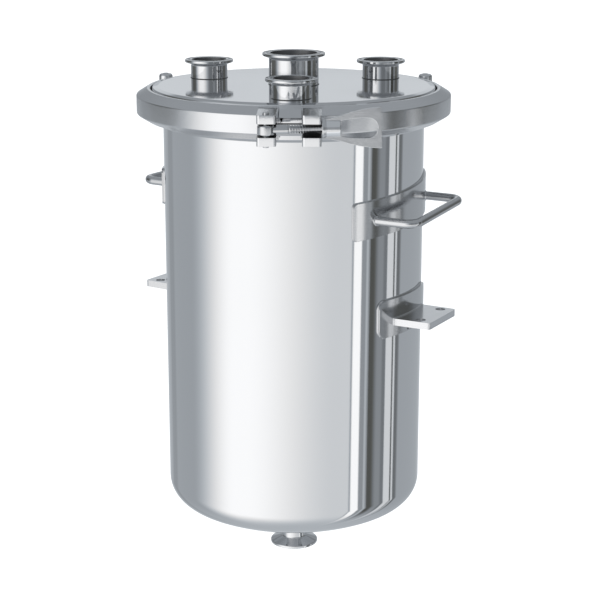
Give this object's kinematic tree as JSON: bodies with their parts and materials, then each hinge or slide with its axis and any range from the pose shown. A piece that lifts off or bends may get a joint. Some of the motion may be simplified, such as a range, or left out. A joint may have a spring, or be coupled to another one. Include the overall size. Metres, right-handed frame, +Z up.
{
  "type": "pressure vessel",
  "caption": "Upright round steel vessel with a clamped flat lid, pipe ports on the lid, a dished bottom with a drain, rod handles and side bracket plates.",
  "frame": {"origin": "on the flat underside of the right bracket plate, midway between its two bolt holes", "axes": "+X points outwards along the right bracket plate, away from the vessel; +Z is up, along the vessel"},
  "size_m": [0.3455, 0.3464, 0.5328],
  "materials": {
    "shell": "polished",
    "bottom_head": "polished",
    "drain_port": "polished",
    "body_flange": "turned",
    "lid_gasket": "matt",
    "lid": "mirror polished",
    "port_front": "polished",
    "port_right": "polished",
    "port_left": "polished",
    "port_centre": "polished",
    "clamp_front_left": "polished",
    "clamp_front_right": "polished",
    "clamp_rear": "polished",
    "hinge_pin_right": "satin",
    "hinge_pin_left": "satin",
    "swing_bolt_pin": "satin",
    "swing_bolt": "satin",
    "wing_nut": "polished",
    "handle_pad_right": "polished",
    "handle_right": "satin",
    "bracket_pad_right": "polished",
    "bracket_plate_right": "satin",
    "handle_pad_left": "polished",
    "handle_left": "satin",
    "bracket_pad_left": "polished",
    "bracket_plate_left": "satin"
  },
  "bodies": {
    "vessel": {"shell": "shell", "bottom_head": "bottom_head", "drain_port": "drain_port", "body_flange": "body_flange", "lid_gasket": "lid_gasket", "lid": "lid", "port_front": "port_front", "port_right": "port_right", "port_left": "port_left", "port_centre": "port_centre", "clamp_front_left": "clamp_front_left", "clamp_front_right": "clamp_front_right", "clamp_rear": "clamp_rear", "hinge_pin_right": "hinge_pin_right", "hinge_pin_left": "hinge_pin_left", "swing_bolt_pin": "swing_bolt_pin", "handle_pad_right": "handle_pad_right", "handle_right": "handle_right", "bracket_pad_right": "bracket_pad_right", "bracket_plate_right": "bracket_plate_right", "handle_pad_left": "handle_pad_left", "handle_left": "handle_left", "bracket_pad_left": "bracket_pad_left", "bracket_plate_left": "bracket_plate_left"},
    "bolt": {"swing_bolt": "swing_bolt"},
    "nut": {"wing_nut": "wing_nut"}
  },
  "joints": [
    {"name": "bolt_swing", "type": "hinge", "parent": "vessel", "child": "bolt", "pos_m": [-0.08858, -0.17688, 0.2123], "axis": [0, 0, -1], "range_deg": [0, 110]},
    {"name": "wing_nut_turn", "type": "hinge", "parent": "bolt", "child": "nut", "pos_m": [-0.04303, -0.15266, 0.21365], "axis": [0.8826, 0.4693, 0.0262], "continuous": true}
  ]
}
